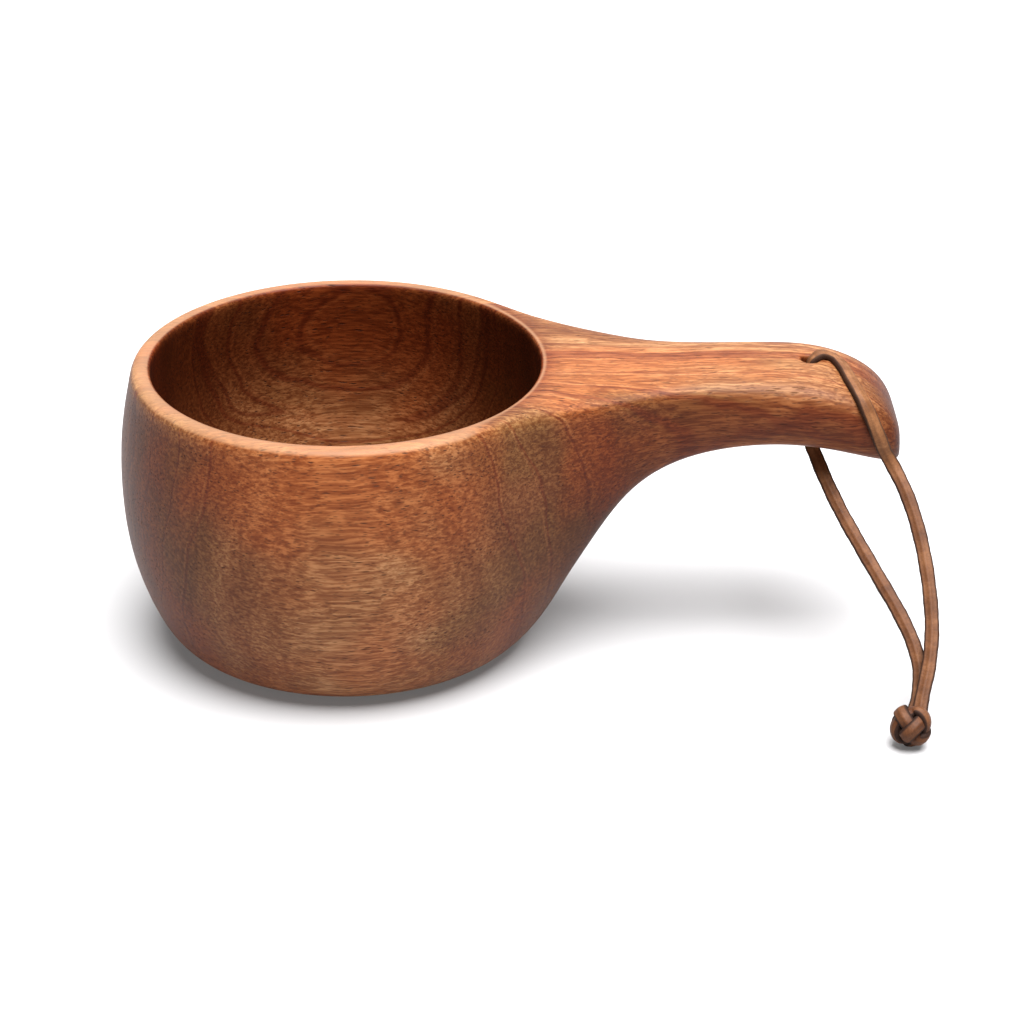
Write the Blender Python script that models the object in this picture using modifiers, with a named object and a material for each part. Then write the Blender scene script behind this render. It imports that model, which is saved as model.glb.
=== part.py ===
"""Kuksa: a drinking cup carved from one block of wood, with a leather lace through its handle.

The origin is the centre of the cup's flat foot, +Z is up and +X runs out along the handle.
All sizes are in metres. The cup is a cage of few faces, turned for the bowl and drawn out
section by section for the handle, which a Subdivision Surface then rounds. The lace is passed
through a hole in the handle, and its two ends are tied together in a ball knot.
"""

import math

import bmesh
import bpy
from mathutils import Vector

MM = 0.001
GAP = 0.3 * MM
# Two points closer than this are the same point of the cage.
SAME = 1e-6

# Bowl: (radius, height) of each ring of the cage, from the middle of the foot to the rim's
# outer edge, and from the rim's inner edge to the middle of the hollow.
CUP_HEIGHT = 0.0640
OUTER_RINGS = (
    (0.0200, 0.0000),
    (0.0300, 0.0000),
    (0.0395, 0.0016),
    (0.0440, 0.0095),
    (0.0483, 0.0220),
    (0.0496, 0.0360),
    (0.0490, 0.0500),
    (0.0468, 0.0600),
    (0.0462, CUP_HEIGHT),
)
INNER_RINGS = (
    (0.0424, CUP_HEIGHT),
    (0.0418, CUP_HEIGHT - 0.0008),
    (0.0430, 0.0510),
    (0.0439, 0.0340),
    (0.0375, 0.0140),
    (0.0200, 0.0060),
)
SEGMENTS = 16
SUBDIVISIONS = 2
# A ring of cage points rounds off to a smaller circle, so it is drawn larger by this.
RING_GAIN = 1 / (2 / 3 + math.cos(2 * math.pi / SEGMENTS) / 3)

# Handle: it grows out of the wall on a patch this many faces wide, between these heights.
HANDLE_COLUMNS = 3
HANDLE_ROWS = (0.0095, 0.0220, 0.0360, 0.0500, 0.0600, CUP_HEIGHT)
# How far the two middle points of the patch's lowest row stand out from the round wall.
KEEL_STEP = 0.0022
# Sections of the handle, outwards from the bowl: top (x, z), bottom (x, z), half width, how
# square the shoulders and the belly are (0 is round, 1 is a box), depth of the shoulder.
STATIONS = (
    ((0.0590, 0.0640), (0.0510, 0.0202), 0.0200, 0.70, 0.20, 0.0040),
    ((0.0680, 0.0640), (0.0600, 0.0355), 0.0155, 0.60, 0.20, 0.0040),
    ((0.0790, 0.0640), (0.0740, 0.0438), 0.0140, 0.55, 0.25, 0.0045),
    ((0.0930, 0.0640), (0.0920, 0.0465), 0.0146, 0.50, 0.30, 0.0045),
    ((0.1040, 0.0630), (0.1050, 0.0450), 0.0155, 0.50, 0.30, 0.0045),
    ((0.1145, 0.0585), (0.1165, 0.0417), 0.0150, 0.50, 0.30, 0.0045),
    ((0.1195, 0.0520), (0.1198, 0.0430), 0.0130, 0.50, 0.30, 0.0040),
)

# Hole: drilled down through the handle between the sections on each side of HOLE_X.
HOLE_X = 0.1003
HOLE_RADIUS = 0.0018
HOLE_STATIONS = (4, 5)
# A square of cage points rounds off to a circle of two thirds of its corners' radius.
SQUARE_GAIN = 1.5
# (radius over the hole's, depth below the surface) of the rings that lead into the hole.
MOUTH_RINGS = ((0.0006, 0.0000), (0.0001, 0.0004), (0.0000, 0.0020))

# Lace: the centre line of the lace as it lies, in millimetres. The loop hangs from where the
# lace leaves the end of the handle and from where it leaves the hole underneath.
LACE_RADIUS = 0.9 * MM
KNOT_RADIUS = 4.45 * MM
# The legs' flat ends meet the round knot, so they stop a little further off.
KNOT_GAP = 1.5 * GAP
KNOT_CENTRE = Vector((117.9, -57.6, 4.45)) * MM
LEAVES_HANDLE = (117.6, -15.5, 44.2)
LEAVES_HOLE = (100.3, -0.4, 45.3)
OUTER_LEG = (
    LEAVES_HANDLE,
    (120.0, -20.0, 40.0),
    (121.8, -25.0, 35.2),
    (123.0, -30.5, 30.0),
    (123.6, -36.0, 24.8),
    (123.6, -42.0, 19.1),
    (122.6, -47.5, 13.9),
    (121.0, -52.0, 9.7),
    (119.7, -56.0, 6.0),
)
OVER_HANDLE = (
    LEAVES_HANDLE,
    (115.8, -15.4, 47.2),
    (114.2, -16.0, 51.4),
    (112.6, -15.6, 55.6),
    (110.8, -13.2, 59.7),
    (108.9, -8.0, 61.6),
    (107.7, -2.8, 62.5),
    (106.2, 1.0, 63.2),
    (104.2, 1.5, 64.0),
    (102.2, 0.8, 64.25),
    (100.6, 0.1, 62.6),
    (100.3, 0.0, 60.0),
    (100.3, 0.0, 54.0),
    (100.3, 0.0, 48.6),
    LEAVES_HOLE,
)
INNER_LEG = (
    LEAVES_HOLE,
    (101.7, -4.0, 42.6),
    (103.6, -9.2, 38.9),
    (106.6, -16.0, 34.0),
    (110.3, -23.0, 29.0),
    (114.0, -29.8, 24.2),
    (117.4, -36.0, 19.7),
    (119.8, -41.5, 15.6),
    (120.8, -46.0, 11.8),
    (120.3, -50.3, 8.0),
    (118.8, -54.0, 5.0),
)
# Distance between two points of a lace's tube, in diameters.
TUBE_STEP = 2

WOOD = ("wood", (0.36, 0.15, 0.07), 0.45)
LEATHER = ("leather", (0.20, 0.10, 0.055), 0.7)


def new_collection(name):
    collection = bpy.data.collections.new(name)
    bpy.context.scene.collection.children.link(collection)
    return collection


def material(name, colour, roughness):
    made = bpy.data.materials.new(name)
    made.use_nodes = True
    shader = made.node_tree.nodes["Principled BSDF"]
    shader.inputs["Base Color"].default_value = (*colour, 1)
    shader.inputs["Roughness"].default_value = roughness
    shader.inputs["Metallic"].default_value = 0
    return made


def mesh_object(name, cage, finish, collection):
    mesh = bpy.data.meshes.new(name)
    cage.to_mesh(mesh)
    cage.free()
    mesh.shade_smooth()
    mesh.materials.append(finish)
    made = bpy.data.objects.new(name, mesh)
    collection.objects.link(made)
    return made


def turn_bowl():
    """The bowl's outside, rim and hollow, turned as one shell and closed at both poles."""
    cage = bmesh.new()
    rings = ((0.0, 0.0), *OUTER_RINGS, *INNER_RINGS, (0.0, INNER_RINGS[-1][1]))
    start = math.pi / SEGMENTS
    points = []
    for ring_radius, height in rings:
        radius = ring_radius * RING_GAIN
        points.append(cage.verts.new((radius * math.cos(start), radius * math.sin(start), height)))
    edges = [cage.edges.new(pair) for pair in zip(points, points[1:])]
    bmesh.ops.spin(
        cage,
        geom=points + edges,
        axis=(0, 0, 1),
        cent=(0, 0, 0),
        angle=2 * math.pi,
        steps=SEGMENTS,
        use_merge=True,
    )
    bmesh.ops.remove_doubles(cage, verts=cage.verts, dist=SAME)
    bmesh.ops.recalc_face_normals(cage, faces=cage.faces)
    return cage


def section_point(station, across, down):
    """A point of a handle section: across runs -1 to 1 over its width, down 1 to -1."""
    top, bottom, half_width, shoulder, belly, _ = station
    square = shoulder if down > 0 else belly
    side = across * math.sqrt(1 - (1 - square) * down * down / 2)
    rise = down * math.sqrt(1 - (1 - square) * across * across / 2)
    x = (top[0] + bottom[0]) / 2 + (top[0] - bottom[0]) / 2 * rise
    z = (top[1] + bottom[1]) / 2 + (top[1] - bottom[1]) / 2 * rise
    return Vector((x, half_width * side, z))


def mark_patch(cage, layers):
    """Numbers the column and row of each wall point that the handle grows from."""
    column, row, station = layers
    middle_of_rim = (OUTER_RINGS[-1][0] + INNER_RINGS[0][0]) / 2
    for v in cage.verts:
        v[column] = v[row] = v[station] = -1
        angle = math.atan2(v.co.y, v.co.x) / (2 * math.pi / SEGMENTS)
        place = angle + HANDLE_COLUMNS / 2
        rows = [i for i, height in enumerate(HANDLE_ROWS) if abs(v.co.z - height) < SAME]
        if not rows or v.co.xy.length < middle_of_rim or not -0.5 < place < HANDLE_COLUMNS + 0.5:
            continue
        v[column] = round(place)
        v[row] = rows[0]
        v[station] = 0
        if rows[0] == 0 and 0 < v[column] < HANDLE_COLUMNS:
            v.co.x += KEEL_STEP
    return [face for face in cage.faces if all(v[row] >= 0 for v in face.verts)]


def draw_out_handle(cage, layers):
    """Extrudes the patch through the handle's sections."""
    column, row, station = layers
    faces = mark_patch(cage, layers)
    top_row = len(HANDLE_ROWS) - 1
    for number, section in enumerate(STATIONS, 1):
        made = bmesh.ops.extrude_face_region(cage, geom=faces)
        bmesh.ops.delete(cage, geom=faces, context="FACES")
        faces = [item for item in made["geom"] if isinstance(item, bmesh.types.BMFace)]
        depth = section[0][1] - section[1][1]
        shoulder_share = section[-1] / depth
        for v in {v for face in faces for v in face.verts}:
            across = 2 * v[column] / HANDLE_COLUMNS - 1
            down = 1.0
            if v[row] < top_row:
                down = -1 + v[row] / (top_row - 1) * 2 * (1 - shoulder_share)
            v.co = section_point(section, across, down)
            v[station] = number


def sink_mouth(cage, face, inward):
    """Leads rings of the cage from a face into the hole; inward is -1 from above, 1 from below."""
    slope = (face.verts[0].co.z - face.verts[2].co.z) / (face.verts[0].co.x - face.verts[2].co.x)
    centre = face.calc_center_median()
    for extra, depth in MOUTH_RINGS:
        bmesh.ops.inset_individual(cage, faces=[face], thickness=0)
        reach = (HOLE_RADIUS + extra) * SQUARE_GAIN / math.sqrt(2)
        for v in face.verts:
            x = HOLE_X + math.copysign(reach, v.co.x - centre.x)
            y = math.copysign(reach, v.co.y)
            v.co = (x, y, centre.z + slope * (x - centre.x) + inward * depth)
    rim = list(face.edges)
    bmesh.ops.delete(cage, geom=[face], context="FACES_ONLY")
    return rim


def drill_hole(cage, layers):
    """Opens the hole's two mouths in the handle and joins them by the bore."""
    column, row, station = layers
    top_row = len(HANDLE_ROWS) - 1
    middle = (1, HANDLE_COLUMNS - 1)
    mouths = {}
    for face in cage.faces:
        if all(v[station] in HOLE_STATIONS and v[column] in middle for v in face.verts):
            rows = {v[row] for v in face.verts}
            if len(rows) == 1 and rows <= {0, top_row}:
                mouths[rows.pop()] = face
    rims = sink_mouth(cage, mouths[top_row], -1) + sink_mouth(cage, mouths[0], 1)
    bmesh.ops.bridge_loops(cage, edges=rims)
    bmesh.ops.recalc_face_normals(cage, faces=cage.faces)


def wood_cup(finish, collection):
    cage = turn_bowl()
    layers = [cage.verts.layers.int.new(name) for name in ("column", "row", "station")]
    draw_out_handle(cage, layers)
    drill_hole(cage, layers)
    cup = mesh_object("cup", cage, finish, collection)
    rounding = cup.modifiers.new("Rounding", "SUBSURF")
    rounding.levels = SUBDIVISIONS
    rounding.render_levels = SUBDIVISIONS
    return cup


def smooth_route(points, steps=40):
    """A dense Catmull-Rom curve through a route's points, which are in millimetres."""
    route = [Vector(point) * MM for point in points]
    route = [2 * route[0] - route[1], *route, 2 * route[-1] - route[-2]]
    curve = []
    for a, b, c, d in zip(route, route[1:], route[2:], route[3:]):
        for step in range(steps):
            t = step / steps
            bend = (2 * a - 5 * b + 4 * c - d) * t * t + (3 * b - a - 3 * c + d) * t**3
            curve.append(b + ((c - a) * t + bend) / 2)
    curve.append(route[-2])
    return curve


def even_points(curve, spacing):
    """Points along a dense curve, its two ends included, about one spacing apart."""
    lengths = [0.0]
    for a, b in zip(curve, curve[1:]):
        lengths.append(lengths[-1] + (b - a).length)
    count = max(1, round(lengths[-1] / spacing))
    points = []
    index = 0
    for step in range(count + 1):
        target = lengths[-1] * step / count
        while index < len(lengths) - 2 and lengths[index + 1] < target:
            index += 1
        share = (target - lengths[index]) / (lengths[index + 1] - lengths[index])
        points.append(curve[index].lerp(curve[index + 1], share))
    return points


def lace_tube(name, points, widths, finish, collection):
    """A tube through the points, each with its width as a share of the lace's."""
    curve = bpy.data.curves.new(name, "CURVE")
    curve.dimensions = "3D"
    curve.bevel_depth = LACE_RADIUS
    curve.bevel_resolution = 2
    curve.use_fill_caps = True
    curve.materials.append(finish)
    spline = curve.splines.new("POLY")
    spline.points.add(len(points) - 1)
    for target, point, width in zip(spline.points, points, widths):
        target.co = (*point, 1)
        target.radius = width
    made = bpy.data.objects.new(name, curve)
    collection.objects.link(made)
    return made


def seat(finish, collection):
    """The stretch that stays with the cup: over the handle's end and down through the hole."""
    ends = [Vector(LEAVES_HANDLE) * MM, Vector(LEAVES_HOLE) * MM]
    clear = LACE_RADIUS + GAP
    curve = [p for p in smooth_route(OVER_HANDLE) if all((p - end).length > clear for end in ends)]
    points = even_points(curve, TUBE_STEP * 2 * LACE_RADIUS)
    return lace_tube("thong_seat", points, [1.0] * len(points), finish, collection)


def leg(name, route, finish, collection):
    """One side of the loop, from a round end on the swing axis to just clear of the knot."""
    clear = KNOT_RADIUS + KNOT_GAP
    curve = [p for p in smooth_route(route) if (p - KNOT_CENTRE).length > clear]
    points = even_points(curve, TUBE_STEP * 2 * LACE_RADIUS)
    back = (points[0] - points[1]).normalized()
    round_end = [(math.sin(turn), math.cos(turn)) for turn in (math.radians(75), math.radians(45))]
    tips = [points[0] + back * LACE_RADIUS * reach for reach, _ in round_end]
    widths = [width for _, width in round_end] + [1.0] * len(points)
    return lace_tube(name, tips + points, widths, finish, collection)


def knot(finish, collection):
    cage = bmesh.new()
    bmesh.ops.create_uvsphere(cage, u_segments=24, v_segments=12, radius=KNOT_RADIUS)
    made = mesh_object("thong_knot", cage, finish, collection)
    made.location = KNOT_CENTRE
    return made


def main():
    for obj in list(bpy.data.objects):
        bpy.data.objects.remove(obj)
    parts = new_collection("kuksa")
    wood = material(*WOOD)
    leather = material(*LEATHER)
    wood_cup(wood, parts)
    seat(leather, parts)

    axis = bpy.data.objects.new("thong_swing_axis", None)
    axis.empty_display_size = HOLE_RADIUS
    axis.location = Vector(LEAVES_HANDLE) * MM
    parts.objects.link(axis)
    loop = [
        leg("thong_outer_leg", OUTER_LEG, leather, parts),
        leg("thong_inner_leg", INNER_LEG, leather, parts),
        knot(leather, parts),
    ]
    for piece in loop:
        piece.parent = axis
        piece.matrix_parent_inverse.translation = -axis.location


main()
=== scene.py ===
"""Kuksa: a drinking cup carved from one block of wood, with a leather lace through its handle.

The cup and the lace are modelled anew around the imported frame, in its own place and size.
"""

import math

import bmesh
import bpy
from mathutils import Matrix, Vector
from mathutils.bvhtree import BVHTree


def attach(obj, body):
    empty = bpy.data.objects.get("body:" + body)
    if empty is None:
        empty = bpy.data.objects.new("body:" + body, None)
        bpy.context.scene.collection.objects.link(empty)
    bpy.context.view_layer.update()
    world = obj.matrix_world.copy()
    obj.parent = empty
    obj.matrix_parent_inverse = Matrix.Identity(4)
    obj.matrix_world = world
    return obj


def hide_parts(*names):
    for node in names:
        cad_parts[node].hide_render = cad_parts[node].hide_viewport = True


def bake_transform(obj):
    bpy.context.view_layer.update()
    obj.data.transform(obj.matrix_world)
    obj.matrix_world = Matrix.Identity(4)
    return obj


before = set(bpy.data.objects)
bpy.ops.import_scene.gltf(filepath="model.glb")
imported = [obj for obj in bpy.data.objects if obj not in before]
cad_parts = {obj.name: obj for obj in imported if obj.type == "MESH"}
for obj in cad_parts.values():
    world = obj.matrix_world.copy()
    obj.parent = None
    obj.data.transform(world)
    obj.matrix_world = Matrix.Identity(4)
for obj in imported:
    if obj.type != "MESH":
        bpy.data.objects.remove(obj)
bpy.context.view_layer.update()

MM = 0.001
# Two points closer than this are the same point of a cage.
SAME = 1e-6


# ------------------------------------------------------------------ camera and light

VIEW_AZIMUTH = math.radians(-1.5)
VIEW_ELEVATION = math.radians(26.6)
VIEW_DISTANCE = 0.75
LENS = 123.05
AIM = Vector((35.35, -19.75, 36.77)) * MM

# Each lamp: its direction from the cup, its strength and its width in degrees.
KEY_LAMP = ((0.14, -0.17, 1.0), 10.0, 50)
BACK_LAMP = ((0.1, 1.0, 0.9), 1.3, 60)
SKY_STRENGTH = 0.10
TABLE_SIZE = 40.0
TABLE_DROP = 0.02 * MM
TABLE_WHITE = (0.43, 0.425, 0.43)
# The table is a light box, which softens the shadows on it.
TABLE_GLOW = 0.11


def add_camera():
    camera = bpy.data.objects.new("camera", bpy.data.cameras.new("camera"))
    bpy.context.scene.collection.objects.link(camera)
    camera.data.lens = LENS
    level = math.cos(VIEW_ELEVATION)
    towards = Vector((
        math.sin(VIEW_AZIMUTH) * level,
        -math.cos(VIEW_AZIMUTH) * level,
        math.sin(VIEW_ELEVATION),
    ))
    camera.location = AIM + towards * VIEW_DISTANCE
    camera.rotation_euler = (math.pi / 2 - VIEW_ELEVATION, 0, VIEW_AZIMUTH)
    bpy.context.scene.camera = camera


def add_lamp(name, direction, strength, width):
    lamp = bpy.data.lights.new(name, "SUN")
    lamp.energy = strength
    lamp.angle = math.radians(width)
    stand = bpy.data.objects.new(name, lamp)
    stand.rotation_euler = Vector(direction).to_track_quat("Z", "Y").to_euler()
    bpy.context.scene.collection.objects.link(stand)


def light_the_table():
    add_lamp("key lamp", *KEY_LAMP)
    add_lamp("back lamp", *BACK_LAMP)
    sky = bpy.data.worlds.new("studio")
    sky.use_nodes = True
    background = sky.node_tree.nodes["Background"]
    background.inputs["Color"].default_value = (1, 1, 1, 1)
    background.inputs["Strength"].default_value = SKY_STRENGTH
    bpy.context.scene.world = sky
    bpy.context.scene.view_settings.view_transform = "Standard"
    sheet = bmesh.new()
    bmesh.ops.create_grid(sheet, x_segments=1, y_segments=1, size=TABLE_SIZE / 2)
    bmesh.ops.translate(sheet, verts=sheet.verts, vec=(0, 0, -TABLE_DROP))
    g = Graph("matt white table")
    white = g.finish(
        Base_Color=(*TABLE_WHITE, 1),
        Roughness=0.9,
        Emission_Color=(1, 1, 1, 1),
        Emission_Strength=TABLE_GLOW,
    )
    new_piece("table", sheet, white)


# ------------------------------------------------------------------ shader maths


class Val:
    """A shader socket that can be used in expressions."""

    def __init__(self, graph, socket):
        self.graph = graph
        self.socket = socket

    def _math(self, operation, *values):
        return self.graph.node("Math", {"operation": operation}, dict(enumerate(values)))

    def __add__(self, other):
        return self._math("ADD", self, other)

    __radd__ = __add__

    def __sub__(self, other):
        return self._math("SUBTRACT", self, other)

    def __rsub__(self, other):
        return self._math("SUBTRACT", other, self)

    def __mul__(self, other):
        return self._math("MULTIPLY", self, other)

    __rmul__ = __mul__

    def __truediv__(self, other):
        return self._math("DIVIDE", self, other)

    def size(self):
        return self._math("ABSOLUTE", self)

    def root(self):
        return self._math("SQRT", self)

    def between(self, low, high):
        """0 at low, 1 at high, smooth in between."""
        settings = {"interpolation_type": "SMOOTHSTEP"}
        return self.graph.node("MapRange", settings, {0: self, 1: low, 2: high})


class Graph:
    """One material and its nodes."""

    def __init__(self, name):
        self.material = bpy.data.materials.new(name)
        self.material.use_nodes = True
        self.nodes = self.material.node_tree.nodes
        self.links = self.material.node_tree.links
        self.shader = self.nodes["Principled BSDF"]

    def node(self, kind, settings, inputs, output=0):
        """Adds a node. A setting called stops fills a colour ramp."""
        made = self.nodes.new("ShaderNode" + kind)
        for name, value in settings.items():
            if name == "stops":
                self.fill_ramp(made.color_ramp.elements, value)
            else:
                setattr(made, name, value)
        self.fill(made, inputs)
        return Val(self, made.outputs[output])

    def fill(self, made, inputs):
        for key, value in inputs.items():
            if isinstance(value, Val):
                self.links.new(value.socket, made.inputs[key])
            else:
                made.inputs[key].default_value = value

    def fill_ramp(self, elements, stops):
        while len(elements) < len(stops):
            elements.new(1)
        for element, (position, colour) in zip(elements, stops):
            element.position = position
            element.color = (*colour, 1)

    def ramp(self, value, *stops):
        return self.node("ValToRGB", {"stops": stops}, {"Fac": value})

    def here(self):
        return self.node("TexCoord", {}, {}, "Object")

    def scaled(self, place, sizes, shift=(0, 0, 0)):
        """The place in cells of the given sizes, which are in millimetres."""
        scale = [1 / (size * MM) for size in sizes]
        return self.node("Mapping", {}, {"Vector": place, "Location": shift, "Scale": scale})

    def noise(self, place, detail=2.0, roughness=0.5, output=0):
        inputs = {"Vector": place, "Scale": 1.0, "Detail": detail, "Roughness": roughness}
        return self.node("TexNoise", {}, inputs, output)

    def cells(self, place):
        return self.node("TexVoronoi", {}, {"Vector": place, "Scale": 1.0}, "Distance")

    def mix(self, share, a, b, blend="MIX"):
        colours = [value if isinstance(value, Val) else (*value, 1) for value in (a, b)]
        settings = {"data_type": "RGBA", "blend_type": blend}
        inputs = {0: share, 6: colours[0], 7: colours[1]}
        return self.node("Mix", settings, inputs, 2)

    def vector(self, operation, a, b):
        return self.node("VectorMath", {"operation": operation}, {0: a, 1: b})

    def parts(self, vector):
        return [self.node("SeparateXYZ", {}, {0: vector}, axis) for axis in range(3)]

    def join(self, x, y, z):
        return self.node("CombineXYZ", {}, {0: x, 1: y, 2: z})

    def attribute(self, name, output):
        return self.node("Attribute", {"attribute_name": name}, {}, output)

    def bump(self, height, distance):
        return self.node("Bump", {}, {"Height": height, "Distance": distance})

    def finish(self, **inputs):
        self.fill(self.shader, {name.replace("_", " "): value for name, value in inputs.items()})
        return self.material


# How deep the fine relief of the wood and of the leather is.
RELIEF = 0.05 * MM

# The place of the growth rings' middle, far behind the cup, and the width of a ring.
PITH_Y = 0.090
PITH_Z = 0.055
RING_WIDTH = 0.0085
# Moves the growth rings, so that a pale one is cut through at the front.
RING_SHIFT = 0.8
WOOD_TONES = (
    (0.0, (0.163, 0.058, 0.019)),
    (0.4, (0.220, 0.086, 0.031)),
    (0.7, (0.272, 0.118, 0.045)),
    (1.0, (0.328, 0.158, 0.067)),
)
OLIVE_WOOD = (0.165, 0.082, 0.026)
RED_WOOD = (0.300, 0.078, 0.018)
DARK_RING_LINE = (0.150, 0.032, 0.010)
PALE_RING_LINE = (0.360, 0.150, 0.060)
OPEN_PORE = (0.040, 0.012, 0.005)
PORE_SPECK = (0.066, 0.020, 0.007)
# A painted highlight on the rim, which also stands for wear.
RIM_WEAR_AND_HIGHLIGHT = (0.50, 0.29, 0.16)
# The wood's colour is multiplied by these: fibres, broken bars, end grain, and last a painted
# shade.
FIBRE_SHADES = ((0.76, 0.66, 0.60), (1.17, 1.24, 1.30))
BAR_SHADES = ((0.74, 0.65, 0.60), (1.13, 1.20, 1.25))
END_GRAIN_SHADE = (0.42, 0.29, 0.20)
PAINTED_SHADE_TINT = (0.52, 0.29, 0.17)


def oiled_wood():
    """Red-brown open-pored hardwood, rubbed with oil. The grain runs along X, and the growth
    rings stand nearly upright, curving round a pith far behind the cup."""
    g = Graph("oiled red-brown wood")
    here = g.here()
    waves = g.noise(g.scaled(here, (55, 26, 26)), 1.0, 0.5, "Color")
    sway = g.vector("MULTIPLY", g.vector("SUBTRACT", waves, (0.5,) * 3), (0, 4 * MM, 4 * MM))
    ripple = g.noise(g.scaled(here, (7, 5, 5)), 1.0, 0.5, "Color")
    ripple = g.vector("MULTIPLY", g.vector("SUBTRACT", ripple, (0.5,) * 3), (0, MM, MM))
    grain = g.vector("ADD", g.vector("ADD", here, sway), ripple)
    _, y, z = g.parts(grain)
    end_grain = g.attribute("end_grain", "Fac")
    worn = g.attribute("worn", "Fac")
    oiled = g.attribute("oiled", "Fac")

    # Growth rings: broad bands of colour, and thin lines, dark or pale, where one ends.
    drift = g.noise(g.scaled(here, (80, 45, 45)), 2.0)
    from_pith = ((y - PITH_Y) * (y - PITH_Y) + (z - PITH_Z) * (z - PITH_Z)).root()
    ring = from_pith / RING_WIDTH + drift * 2.0 + RING_SHIFT
    bands = g.noise(g.join(ring, 0.0, 0.0), 2.0, 0.6)
    lines = g.noise(g.join(ring * 0.9, 3.0, drift), 1.0, 0.5)
    line = 1 - (lines - 0.5).size().between(0.004, 0.022)
    pale = 1 - (lines - 0.535).size().between(0.003, 0.016)
    cloud = g.noise(g.scaled(here, (45, 16, 26)), 3.0, 0.55)
    colour = g.ramp((bands * 0.7 + cloud * 0.3).between(0.33, 0.67), *WOOD_TONES)
    olive = g.noise(g.scaled(here, (45, 16, 30), (4.1, 0.3, 7.7)), 2.0).between(0.47, 0.68)
    colour = g.mix(olive * 0.6, colour, OLIVE_WOOD)
    red = g.noise(g.scaled(here, (42, 18, 30), (8.2, 5.1, 1.4)), 2.0).between(0.45, 0.66)
    colour = g.mix(red * 0.6, colour, RED_WOOD)
    colour = g.mix(line * 0.65, colour, DARK_RING_LINE)
    colour = g.mix(pale * 0.32, colour, PALE_RING_LINE)

    # Fibres: long fine streaks, and shorter broken bars.
    streak = g.noise(g.scaled(grain, (26, 0.5, 0.5)), 3.0, 0.65)
    shade = g.mix(streak.between(0.38, 0.62), *FIBRE_SHADES)
    colour = g.mix(1.0, colour, shade, "MULTIPLY")
    bars = g.noise(g.scaled(grain, (6.5, 0.70, 0.70), (3, 9, 2)), 2.0, 0.6)
    shade = g.mix(bars.between(0.40, 0.60), *BAR_SHADES)
    colour = g.mix(1.0, colour, shade, "MULTIPLY")

    # Pores: open vessels, dashes along the grain and specks where they are cut across.
    crowd = g.noise(g.scaled(here, (24, 7, 7), (1, 6, 3)), 1.0).between(0.28, 0.60)
    pores = (1 - g.cells(g.scaled(grain, (5.5, 0.80, 0.80))).between(0.10, 0.26)) * crowd
    specks = 1 - g.cells(g.scaled(grain, (2.0, 0.48, 0.48), (5, 1, 2))).between(0.12, 0.36)
    colour = g.mix(pores * 0.85, colour, OPEN_PORE)
    colour = g.mix(specks * 0.60, colour, PORE_SPECK)

    # Wood cut across the grain is darker. Painted shade darkens the wood where it turns away from
    # facing up and high in the hollow, and a painted highlight, which also stands for wear, makes
    # the rim pale.
    colour = g.mix(end_grain.between(0.15, 0.95), colour, END_GRAIN_SHADE, "MULTIPLY")
    colour = g.mix(oiled, colour, PAINTED_SHADE_TINT, "MULTIPLY")
    colour = g.mix(worn.between(0.72, 1.0) * 0.34, colour, RIM_WEAR_AND_HIGHLIGHT)

    return g.finish(
        Base_Color=colour,
        Roughness=0.42 + streak * 0.12 + pores * 0.25,
        Normal=g.bump(streak * 0.4 - pores - specks * 0.5, RELIEF),
        Specular_IOR_Level=0.15,
    )


LEATHER_TONES = (
    (0.0, (0.105, 0.038, 0.013)),
    (0.5, (0.165, 0.064, 0.023)),
    (1.0, (0.240, 0.104, 0.042)),
)
LEATHER_BACK = (0.160, 0.075, 0.035)
# The cut edges' colour: their own dark dye, made darker still as painted shade.
EDGE_DYE_AND_SHADE = (0.022, 0.008, 0.004)
LEATHER_PEBBLE = (0.070, 0.028, 0.012)
# The leather's colour is multiplied by this as painted shade: on the hanging loop and deep in the
# knot.
LEATHER_PAINTED_SHADE = (0.30, 0.20, 0.16)


def lace_leather():
    """Brown lace leather: a smooth face, a paler rough back and dark cut edges, their dark partly
    dye and partly painted shade. The attribute "lie" holds the way along the lace in mm, then -1
    to 1 across it and from back to face."""
    g = Graph("brown lace leather")
    along, across, out = g.parts(g.attribute("lie", "Vector"))
    here = g.here()
    patch = g.noise(g.scaled(here, (5, 5, 5)), 3.0, 0.6)
    pebbles = g.cells(g.scaled(here, (0.42, 0.42, 0.42)))
    fuzz = g.noise(g.scaled(here, (0.18, 0.18, 0.18)), 3.0, 0.7)
    creases = g.noise(g.join(along * 0.9, across * 0.35, out), 3.0, 0.65)
    tone = patch * 0.55 + fuzz * 0.25 + creases * 0.2
    colour = g.ramp(tone.between(0.34, 0.66), *LEATHER_TONES)
    back = 1 - out.between(-0.9, -0.3)
    colour = g.mix(back * 0.4, colour, LEATHER_BACK)
    # Dark cut edges: partly their dye, partly painted shade.
    edge = across.size().between(0.66, 0.92)
    colour = g.mix(edge * 0.93, colour, EDGE_DYE_AND_SHADE)
    colour = g.mix(pebbles.between(0.45, 0.75) * 0.25, colour, LEATHER_PEBBLE)
    # Painted shade on the hanging loop and in the knot.
    colour = g.mix(g.attribute("sunk", "Fac"), colour, LEATHER_PAINTED_SHADE, "MULTIPLY")
    return g.finish(
        Base_Color=colour,
        Roughness=0.50 + fuzz * 0.18 + edge * 0.15,
        Normal=g.bump(fuzz * 0.5 + creases * 0.8 - pebbles * 0.5, RELIEF),
        Specular_IOR_Level=0.20,
    )


# ------------------------------------------------------------------ lace


def new_piece(name, shape, finish):
    mesh = bpy.data.meshes.new(name)
    shape.to_mesh(mesh)
    shape.free()
    mesh.shade_smooth()
    mesh.materials.append(finish)
    piece = bpy.data.objects.new(name, mesh)
    bpy.context.scene.collection.objects.link(piece)
    return piece


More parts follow.
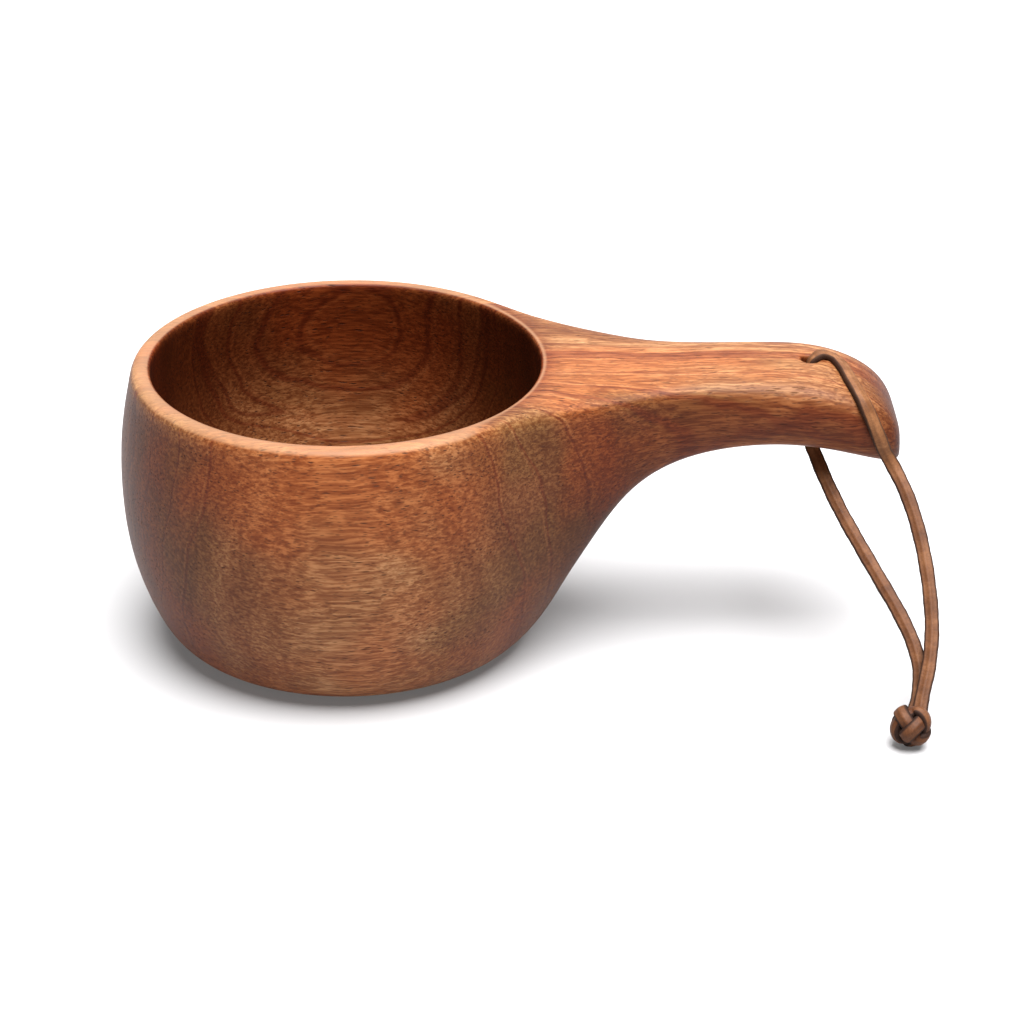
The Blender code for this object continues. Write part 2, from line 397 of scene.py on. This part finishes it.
# The lace's line as it lies, in millimetres. The loop hangs from where the lace leaves the end
# of the handle and from where it leaves the hole underneath.
LEAVES_HANDLE = (117.6, -15.5, 44.2)
LEAVES_HOLE = (100.3, -0.4, 45.3)
OUTER_LEG = (
    LEAVES_HANDLE,
    (120.0, -20.0, 40.0),
    (121.8, -25.0, 35.2),
    (123.0, -30.5, 30.0),
    (123.6, -36.0, 24.8),
    (123.6, -42.0, 19.1),
    (122.6, -47.5, 13.9),
    (121.0, -52.0, 9.7),
    (119.7, -56.0, 6.0),
)
UP_THE_HOLE_AND_OVER = (
    (100.3, 0.0, 54.0),
    (100.3, 0.0, 60.0),
    (100.6, 0.1, 62.6),
    (102.2, 0.8, 64.25),
    (104.2, 1.5, 64.0),
    (106.2, 1.0, 63.2),
    (107.7, -2.8, 62.5),
    (108.9, -8.0, 61.6),
    (110.8, -13.2, 59.7),
    (112.6, -15.6, 55.6),
    (114.2, -16.0, 51.4),
    (115.8, -15.4, 47.2),
)
DOWN_THE_HOLE = (
    (100.3, 0.0, 54.0),
    (100.3, 0.0, 48.6),
)
INNER_LEG = (
    LEAVES_HOLE,
    (101.7, -4.0, 42.6),
    (103.6, -9.2, 38.9),
    (106.6, -16.0, 34.0),
    (110.3, -23.0, 29.0),
    (114.0, -29.8, 24.2),
    (117.4, -36.0, 19.7),
    (119.8, -41.5, 15.6),
    (120.8, -46.0, 11.8),
    (120.3, -50.3, 8.0),
    (118.8, -54.0, 5.0),
)
# The middles of the hole's two mouths.
HOLE_TOP = Vector((100.3, 0.0, 63.2))
HOLE_BOTTOM = Vector((100.3, -0.1, 46.5))

LACE_WIDTH = 3.1
LACE_THICKNESS = 1.4
LACE_CORNER = 0.45
LACE_STEP = 0.5
# A strap cut by hand isn't quite even: how much its width changes, and how quickly.
WIDTH_WAVES = ((0.025, 0.40), (0.015, 1.3))
# The way the lace's face looks: in the hole's upper and lower half, and on the hanging loop.
FACE_IN_HOLE_TOP = Vector((-1.0, 0.0, 0.0))
FACE_IN_HOLE_BOTTOM = Vector((0.0, -1.0, 0.0))
FACE_ON_LOOP = Vector((-0.15, -0.69, 0.72))
# How many times the turns of the face, and the line itself, are evened out.
TURN_ROUNDS = 40
LINE_ROUNDS = 4
# The lace rests on the wood where its line passes within the first distance, and hangs free
# beyond the second.
RESTS_WITHIN = 1.6
FREE_BEYOND = 2.1
RESTS_ABOVE = 0.02
# Painted shade on the hanging loop: how much it is darkened. It starts at the first height and is
# full at the second.
LOOP_SHADE = 0.42
LOOP_SHADE_FROM = 48
LOOP_SHADE_FULL = 42


def smooth_route(points, steps=40):
    """A dense Catmull-Rom curve through a route's points."""
    route = [Vector(point) for point in points]
    route = [2 * route[0] - route[1], *route, 2 * route[-1] - route[-2]]
    curve = []
    for a, b, c, d in zip(route, route[1:], route[2:], route[3:]):
        for step in range(steps):
            t = step / steps
            bend = (2 * a - 5 * b + 4 * c - d) * t * t + (3 * b - a - 3 * c + d) * t**3
            curve.append(b + ((c - a) * t + bend) / 2)
    curve.append(route[-2])
    return curve


def even_points(curve, spacing):
    """Points along a dense curve, its two ends included, about one spacing apart."""
    lengths = [0.0]
    for a, b in zip(curve, curve[1:]):
        lengths.append(lengths[-1] + (b - a).length)
    count = max(1, round(lengths[-1] / spacing))
    points = []
    index = 0
    for step in range(count + 1):
        target = lengths[-1] * step / count
        while index < len(lengths) - 2 and lengths[index + 1] < target:
            index += 1
        share = (target - lengths[index]) / (lengths[index + 1] - lengths[index])
        points.append(curve[index].lerp(curve[index + 1], share))
    return points


def line_length(points):
    return sum((b - a).length for a, b in zip(points, points[1:]))


def blur(values, rounds):
    """Evens out a row of vectors, whose two ends stay."""
    for _ in range(rounds):
        inner = [(a + 2 * b + c) / 4 for a, b, c in zip(values, values[1:], values[2:])]
        values = [values[0], *inner, values[-1]]
    return values


def smooth_step(low, high, value):
    t = min(max((value - low) / (high - low), 0.0), 1.0)
    return t * t * (3 - 2 * t)


def flat_section(width, thickness, corner, crown=0.0):
    """A strap's section with rounded corners, its face towards +Y. A crown bows it."""
    shape = bmesh.new()
    x, y = width / 2, thickness / 2
    places = ((-x, -y, 0), (x, -y, 0), (x, y, 0), (-x, y, 0))
    corners = [shape.verts.new(place) for place in places]
    shape.faces.new(corners)
    bmesh.ops.bevel(
        shape,
        geom=corners,
        offset=corner,
        affect="VERTICES",
        segments=3,
        profile=0.5,
        material=-1,
    )
    flats = [edge for edge in shape.edges if edge.calc_length() > width / 2]
    bmesh.ops.subdivide_edges(shape, edges=flats, cuts=2)
    for v in shape.verts:
        v.co.y -= crown * v.co.x**2
    return shape


def section_place(point, along, look, swell):
    """The matrix that sets the section at a point: X across the strap, Y out of its face."""
    out = (look - look.dot(along) * along).normalized()
    side = out.cross(along)
    place = Matrix((side * swell, out, along)).transposed().to_4x4()
    place.translation = point
    return place


def sweep(shape, points, looks, closed=False):
    """Draws the section in shape out along the points, its face turned to the looks. The vector
    layer "lie" gets the way along in mm and the place in the section, -1 to 1 both ways."""
    lie = shape.verts.layers.float_vector.new("lie")
    wide = max(v.co.x for v in shape.verts)
    thick = max(v.co.y for v in shape.verts)
    ring = shape.verts[:]
    loop = first = shape.edges[:]
    bmesh.ops.delete(shape, geom=shape.faces[:], context="FACES_ONLY")
    last = len(points) - 1
    place = Matrix.Identity(4)
    walked = 0.0
    for number, point in enumerate(points):
        before = points[number - 1] if number or closed else point
        after = points[(number + 1) % len(points)] if number < last or closed else point
        swell = 1.0
        if not closed:
            swell += sum(amount * math.sin(pace * number) for amount, pace in WIDTH_WAVES)
        if number:
            walked += (point - points[number - 1]).length
            made = bmesh.ops.extrude_edge_only(shape, edges=loop)["geom"]
            ring = [item for item in made if isinstance(item, bmesh.types.BMVert)]
            edges = [item for item in made if isinstance(item, bmesh.types.BMEdge)]
            loop = [edge for edge in edges if set(edge.verts) <= set(ring)]
        next_place = section_place(point, (after - before).normalized(), looks[number], swell)
        bmesh.ops.transform(shape, matrix=next_place @ place.inverted(), verts=ring)
        place = next_place
        back = place.inverted()
        for v in ring:
            spot = back @ v.co
            v[lie] = (walked, spot.x / wide, spot.y / thick)
    if closed:
        bmesh.ops.bridge_loops(shape, edges=first + loop)
    else:
        bmesh.ops.holes_fill(shape, edges=first + loop, sides=0)
    bmesh.ops.recalc_face_normals(shape, faces=shape.faces)
    return shape


def lay_lace(name, route, hole_mouth, face_in_hole, wood, finish):
    """One piece of the lace, from the middle of the hole to the knot, and its centre line."""
    points = even_points(smooth_route(route), LACE_STEP)
    numbers = range(len(points))
    out_of_hole = min(numbers, key=lambda number: (points[number] - hole_mouth).length)
    line, looks, rests = [], [], []
    for number, point in enumerate(points):
        nearest, _, _, distance = wood.find_nearest(point * MM)
        # The way out of the wood. It changes smoothly where two faces meet, as a normal doesn't.
        look = (point * MM - nearest).normalized()
        height = distance / MM
        rest = 1 - smooth_step(RESTS_WITHIN, FREE_BEYOND, height) if number > out_of_hole else 0
        line.append(point + look * rest * (LACE_THICKNESS / 2 + RESTS_ABOVE - height))
        looks.append(look)
        rests.append(rest)
    let_go = max([out_of_hole] + [number for number in numbers if rests[number] > 0.5])
    for number in numbers:
        if number < out_of_hole:
            looks[number] = face_in_hole
        elif number > let_go:
            looks[number] = FACE_ON_LOOP
    line = blur(line, LINE_ROUNDS)
    section = flat_section(LACE_WIDTH, LACE_THICKNESS, LACE_CORNER)
    shape = sweep(section, line, blur(looks, TURN_ROUNDS))
    # Painted shade on the hanging loop.
    sunk = shape.verts.layers.float.new("sunk")
    for v in shape.verts:
        v[sunk] = LOOP_SHADE * (1 - smooth_step(LOOP_SHADE_FULL, LOOP_SHADE_FROM, v.co.z))
    bmesh.ops.scale(shape, verts=shape.verts, vec=(MM, MM, MM))
    return new_piece(name, shape, finish), [point * MM for point in line]


# Knot: a ball woven from one strap. The strap goes three times round the ball, and up and down
# it four times.
KNOT_CENTRE = Vector((117.9, -57.6, 4.7))
KNOT_AXIS = Vector((0.18, 0.70, 0.68))
KNOT_ROUNDS = 3
KNOT_BIGHTS = 4
KNOT_STEPS = 240
# The strap's width, thickness and corner, and how far its line is from the ball's middle.
KNOT_STRAP = (3.2, 1.15, 0.35)
KNOT_STRAP_RADIUS = 3.6
# The strap is bowed to lie on the ball.
KNOT_STRAP_CROWN = 1 / (2 * KNOT_STRAP_RADIUS)
KNOT_WEAVE = 0.55
KNOT_MIDDLE_LATITUDE = math.radians(-6)
KNOT_REACH = math.radians(55)
KNOT_PHASE = math.radians(10)
KNOT_CORE = 2.95
# Painted shade on the knot: how dark its outside is, from 0 to 1, and the depth at which it is
# darkest.
KNOT_SHADE = 0.58
KNOT_DARK_DEPTH = 1.3


def knot_point(t):
    """The strap's line, which passes over and under itself by turns."""
    longitude = KNOT_ROUNDS * t + KNOT_PHASE
    latitude = KNOT_MIDDLE_LATITUDE + KNOT_REACH * math.cos(KNOT_BIGHTS * t)
    radius = KNOT_STRAP_RADIUS + KNOT_WEAVE * math.sin(2 * KNOT_BIGHTS * t)
    flat = radius * math.cos(latitude)
    return Vector((
        flat * math.cos(longitude),
        flat * math.sin(longitude),
        radius * math.sin(latitude),
    ))


def tie_knot(finish):
    points = [knot_point(2 * math.pi * step / KNOT_STEPS) for step in range(KNOT_STEPS)]
    looks = [point.normalized() for point in points]
    section = flat_section(*KNOT_STRAP, crown=KNOT_STRAP_CROWN)
    shape = sweep(section, points, looks, closed=True)
    bmesh.ops.create_icosphere(shape, subdivisions=3, radius=KNOT_CORE)
    # Painted shade: the whole knot is darkened, most deep in its crevices.
    sunk = shape.verts.layers.float.new("sunk")
    outside = max(v.co.length for v in shape.verts)
    for v in shape.verts:
        depth = min((outside - v.co.length) / KNOT_DARK_DEPTH, 1.0)
        v[sunk] = KNOT_SHADE + (1 - KNOT_SHADE) * depth
    stand = KNOT_AXIS.to_track_quat("Z", "Y").to_matrix().to_4x4()
    place = Matrix.Scale(MM, 4) @ Matrix.Translation(KNOT_CENTRE) @ stand
    bmesh.ops.transform(shape, matrix=place, verts=shape.verts)
    knot = new_piece("lace_knot", shape, finish)
    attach(knot, "thong_loop")
    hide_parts("thong_knot")
    return knot


def add_lace(cup, finish):
    wood = BVHTree.FromObject(cup, bpy.context.evaluated_depsgraph_get())
    knot = tie_knot(finish)
    over, over_line = lay_lace(
        "lace_over_handle",
        UP_THE_HOLE_AND_OVER + OUTER_LEG,
        HOLE_TOP,
        FACE_IN_HOLE_TOP,
        wood,
        finish,
    )
    under, under_line = lay_lace(
        "lace_under_handle",
        DOWN_THE_HOLE + INNER_LEG,
        HOLE_BOTTOM,
        FACE_IN_HOLE_BOTTOM,
        wood,
        finish,
    )
    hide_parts("thong_seat", "thong_outer_leg")
    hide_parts("thong_inner_leg")
    for piece, line, leaves, mouth in (
        (over, over_line, LEAVES_HANDLE, HOLE_TOP),
        (under, under_line, LEAVES_HOLE, HOLE_BOTTOM),
    ):
        mouth * MM
        line_length(line)
        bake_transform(piece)


# ------------------------------------------------------------------ cup

# Bowl: (radius, height) of each ring of the cage, from the middle of the foot to the rim's
# outer edge, and from the rim's inner edge to the middle of the hollow.
CUP_HEIGHT = 0.0640
OUTER_RINGS = (
    (0.0200, 0.0000),
    (0.0300, 0.0000),
    (0.0395, 0.0016),
    (0.0440, 0.0095),
    (0.0483, 0.0220),
    (0.0496, 0.0360),
    (0.0490, 0.0500),
    (0.0468, 0.0600),
    (0.0462, CUP_HEIGHT),
)
INNER_RINGS = (
    (0.0424, CUP_HEIGHT),
    (0.0418, CUP_HEIGHT - 0.0008),
    (0.0430, 0.0510),
    (0.0439, 0.0340),
    (0.0375, 0.0140),
    (0.0200, 0.0060),
)
SEGMENTS = 16
# A ring of cage points rounds off to a smaller circle, so it is drawn larger by this.
RING_GAIN = 1 / (2 / 3 + math.cos(2 * math.pi / SEGMENTS) / 3)
CUP_ROUNDING = 3

# Handle: it grows out of the wall on a patch this many faces wide, between these heights.
HANDLE_COLUMNS = 3
HANDLE_ROWS = (0.0095, 0.0220, 0.0360, 0.0500, 0.0600, CUP_HEIGHT)
# How far the two middle points of the patch's lowest row stand out from the round wall.
KEEL_STEP = 0.0022
# Sections of the handle, outwards from the bowl: top (x, z), bottom (x, z), half width, how
# square the shoulders and the belly are (0 is round, 1 is a box), depth of the shoulder.
STATIONS = (
    ((0.0590, 0.0640), (0.0510, 0.0202), 0.0200, 0.70, 0.20, 0.0040),
    ((0.0680, 0.0640), (0.0600, 0.0355), 0.0155, 0.60, 0.20, 0.0040),
    ((0.0790, 0.0640), (0.0740, 0.0438), 0.0140, 0.55, 0.25, 0.0045),
    ((0.0930, 0.0640), (0.0920, 0.0465), 0.0146, 0.50, 0.30, 0.0045),
    ((0.1040, 0.0630), (0.1050, 0.0450), 0.0155, 0.50, 0.30, 0.0045),
    ((0.1145, 0.0585), (0.1165, 0.0417), 0.0150, 0.50, 0.30, 0.0045),
    ((0.1195, 0.0520), (0.1198, 0.0430), 0.0130, 0.50, 0.30, 0.0040),
)

# Hole: drilled down through the handle between the sections on each side of HOLE_X.
HOLE_X = 0.1003
HOLE_RADIUS = 0.0018
HOLE_STATIONS = (4, 5)
# A square of cage points rounds off to a circle of two thirds of its corners' radius.
SQUARE_GAIN = 1.5
# (radius over the hole's, depth below the surface) of the rings that lead into the hole.
MOUTH_RINGS = ((0.0006, 0.0000), (0.0001, 0.0004), (0.0000, 0.0020))


# The rim's flat top: how far its cage points may be from its height and from its middle, and how
# much of its end grain still shows dark. The end grain left undarkened there is a painted
# highlight round the rim.
RIM_DEPTH = 0.0005
RIM_REACH = 0.003
RIM_END_GRAIN_UNDER_HIGHLIGHT = 0.2
RIM_MIDDLE = (OUTER_RINGS[-1][0] + INNER_RINGS[0][0]) / 2
HOLLOW_WIDEST = max(radius for radius, _ in INNER_RINGS)

# How much painted shade darkens the handle, the hollow and the bowl's outside, at most.
SHADE_ON_HANDLE = 0.85
SHADE_IN_HOLLOW = 0.95
SHADE_ON_BOWL = 0.3
# The handle and the outside darken where they turn away from facing up, between these heights
# of the surface's normal, and the hollow between these heights above the table.
HANDLE_TURNS_AWAY = (0.2, 0.8)
BOWL_TURNS_AWAY = (0.3, 0.8)
HOLLOW_DARKENS = (0.018, 0.052)


def turn_bowl():
    """The bowl's outside, rim and hollow, turned as one shell and closed at both poles."""
    cage = bmesh.new()
    rings = ((0.0, 0.0), *OUTER_RINGS, *INNER_RINGS, (0.0, INNER_RINGS[-1][1]))
    start = math.pi / SEGMENTS
    points = []
    for ring_radius, height in rings:
        radius = ring_radius * RING_GAIN
        points.append(cage.verts.new((radius * math.cos(start), radius * math.sin(start), height)))
    edges = [cage.edges.new(pair) for pair in zip(points, points[1:])]
    bmesh.ops.spin(
        cage,
        geom=points + edges,
        axis=(0, 0, 1),
        cent=(0, 0, 0),
        angle=2 * math.pi,
        steps=SEGMENTS,
        use_merge=True,
    )
    bmesh.ops.remove_doubles(cage, verts=cage.verts, dist=SAME)
    bmesh.ops.recalc_face_normals(cage, faces=cage.faces)
    return cage


def section_point(station, across, down):
    """A point of a handle section: across runs -1 to 1 over its width, down 1 to -1."""
    top, bottom, half_width, shoulder, belly, _ = station
    square = shoulder if down > 0 else belly
    side = across * math.sqrt(1 - (1 - square) * down * down / 2)
    rise = down * math.sqrt(1 - (1 - square) * across * across / 2)
    x = (top[0] + bottom[0]) / 2 + (top[0] - bottom[0]) / 2 * rise
    z = (top[1] + bottom[1]) / 2 + (top[1] - bottom[1]) / 2 * rise
    return Vector((x, half_width * side, z))


def mark_patch(cage, layers):
    """Numbers the column and row of each wall point that the handle grows from."""
    column, row, station = layers
    for v in cage.verts:
        v[column] = v[row] = v[station] = -1
        angle = math.atan2(v.co.y, v.co.x) / (2 * math.pi / SEGMENTS)
        place = angle + HANDLE_COLUMNS / 2
        rows = [i for i, height in enumerate(HANDLE_ROWS) if abs(v.co.z - height) < SAME]
        if not rows or v.co.xy.length < RIM_MIDDLE or not -0.5 < place < HANDLE_COLUMNS + 0.5:
            continue
        v[column] = round(place)
        v[row] = rows[0]
        v[station] = 0
        if rows[0] == 0 and 0 < v[column] < HANDLE_COLUMNS:
            v.co.x += KEEL_STEP
    return [face for face in cage.faces if all(v[row] >= 0 for v in face.verts)]


def draw_out_handle(cage, layers):
    """Extrudes the patch through the handle's sections."""
    column, row, station = layers
    faces = mark_patch(cage, layers)
    top_row = len(HANDLE_ROWS) - 1
    for number, section in enumerate(STATIONS, 1):
        made = bmesh.ops.extrude_face_region(cage, geom=faces)
        bmesh.ops.delete(cage, geom=faces, context="FACES")
        faces = [item for item in made["geom"] if isinstance(item, bmesh.types.BMFace)]
        depth = section[0][1] - section[1][1]
        shoulder_share = section[-1] / depth
        for v in {v for face in faces for v in face.verts}:
            across = 2 * v[column] / HANDLE_COLUMNS - 1
            down = 1.0
            if v[row] < top_row:
                down = -1 + v[row] / (top_row - 1) * 2 * (1 - shoulder_share)
            v.co = section_point(section, across, down)
            v[station] = number


def sink_mouth(cage, face, inward):
    """Leads rings of the cage from a face into the hole; inward is -1 from above, 1 from below."""
    slope = (face.verts[0].co.z - face.verts[2].co.z) / (face.verts[0].co.x - face.verts[2].co.x)
    centre = face.calc_center_median()
    for extra, depth in MOUTH_RINGS:
        bmesh.ops.inset_individual(cage, faces=[face], thickness=0)
        reach = (HOLE_RADIUS + extra) * SQUARE_GAIN / math.sqrt(2)
        for v in face.verts:
            x = HOLE_X + math.copysign(reach, v.co.x - centre.x)
            y = math.copysign(reach, v.co.y)
            v.co = (x, y, centre.z + slope * (x - centre.x) + inward * depth)
    rim = list(face.edges)
    bmesh.ops.delete(cage, geom=[face], context="FACES_ONLY")
    return rim


def drill_hole(cage, layers):
    """Opens the hole's two mouths in the handle and joins them by the bore."""
    column, row, station = layers
    top_row = len(HANDLE_ROWS) - 1
    middle = (1, HANDLE_COLUMNS - 1)
    mouths = {}
    for face in cage.faces:
        if all(v[station] in HOLE_STATIONS and v[column] in middle for v in face.verts):
            rows = {v[row] for v in face.verts}
            if len(rows) == 1 and rows <= {0, top_row}:
                mouths[rows.pop()] = face
    rims = sink_mouth(cage, mouths[top_row], -1) + sink_mouth(cage, mouths[0], 1)
    bmesh.ops.bridge_loops(cage, edges=rims)
    bmesh.ops.recalc_face_normals(cage, faces=cage.faces)


def painted_shade_depth(v, on_handle):
    """How much painted shade darkens the wood at a point of the cage, 0 to 1."""
    if on_handle:
        return SHADE_ON_HANDLE * (1 - smooth_step(*HANDLE_TURNS_AWAY, v.normal.z))
    inside = v.co.xy.length < HOLLOW_WIDEST * RING_GAIN + SAME
    outwards = v.normal.xy.dot(v.co.xy)
    if inside and outwards < 0:
        return SHADE_IN_HOLLOW * smooth_step(*HOLLOW_DARKENS, v.co.z)
    return SHADE_ON_BOWL * (1 - smooth_step(*BOWL_TURNS_AWAY, v.normal.z))


def mark_grain_and_painted_light(cage, layers):
    """Marks the end grain, the rim's painted highlight, which also stands for wear, and the
    painted shade, for the finish.
    """
    _, row, station = layers
    looks = ("end_grain", "worn", "oiled")
    end_grain, worn, oiled = [cage.verts.layers.float.new(name) for name in looks]
    cage.normal_update()
    for v in cage.verts:
        from_rim = abs(v.co.xy.length - RIM_MIDDLE * RING_GAIN)
        on_rim = v.co.z > CUP_HEIGHT - RIM_DEPTH and from_rim < RIM_REACH
        # On the rim most of the end grain's darkening is left off, which paints a highlight round
        # the rim.
        v[end_grain] = abs(v.normal.x) * (RIM_END_GRAIN_UNDER_HIGHLIGHT if on_rim else 1)
        # The rim's pale band: a painted highlight, which also stands for wear.
        v[worn] = 1.0 if on_rim and v[row] < 0 else 0.0
        v[oiled] = painted_shade_depth(v, v[station] > 0)


def carve_cup(finish):
    cage = turn_bowl()
    layers = [cage.verts.layers.int.new(name) for name in ("column", "row", "station")]
    draw_out_handle(cage, layers)
    drill_hole(cage, layers)
    mark_grain_and_painted_light(cage, layers)
    cup = new_piece("carved_cup", cage, finish)
    rounding = cup.modifiers.new("Rounding", "SUBSURF")
    rounding.levels = CUP_ROUNDING
    rounding.render_levels = CUP_ROUNDING
    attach(cup, "cup")
    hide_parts("cup")
    return cup


def main():
    add_camera()
    cup = carve_cup(oiled_wood())
    add_lace(cup, lace_leather())
    light_the_table()


main()
